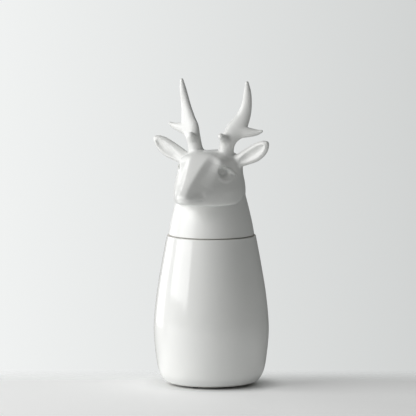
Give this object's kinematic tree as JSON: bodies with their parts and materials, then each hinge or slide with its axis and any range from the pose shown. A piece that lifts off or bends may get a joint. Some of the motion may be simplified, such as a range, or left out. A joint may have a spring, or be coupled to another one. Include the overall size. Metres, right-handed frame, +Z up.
{
  "type": "lidded ceramic jar",
  "caption": "Tall bellied porcelain jar on clear stick-on feet, with a tapered lift-off lid that ends in a slip-cast deer's head with antlers.",
  "frame": {"origin": "on the table, under the middle of the jar", "axes": "+Z up the jar's axis, -Y the way the deer looks, +X to the deer's left"},
  "size_m": [0.1424, 0.1347, 0.3359],
  "materials": {
    "glossy_glaze": "clear gloss over white porcelain",
    "satin_glaze": "satin white over porcelain",
    "silicone": "translucent grey silicone",
    "clear_foot": "clear polyurethane"
  },
  "bodies": {
    "jar": {"jar_body": "glossy_glaze", "foot_front": "clear_foot", "foot_left": "clear_foot", "foot_right": "clear_foot"},
    "seal": {"seal_ring": "silicone"},
    "lid": {"lid_collar": "satin_glaze", "lid_neck": "satin_glaze", "deer_head": "satin_glaze", "left_antler": "satin_glaze", "right_antler": "satin_glaze", "left_ear": "satin_glaze", "right_ear": "satin_glaze"}
  },
  "joints": [
    {"name": "lid_lift", "type": "slide", "parent": "jar", "child": "seal", "axis": [0, 0, 1], "range_m": [0, 0.08]},
    {"name": "lid_turn", "type": "hinge", "parent": "seal", "child": "lid", "pos_m": [0, 0, 0.166], "axis": [0, 0, 1], "continuous": true}
  ]
}
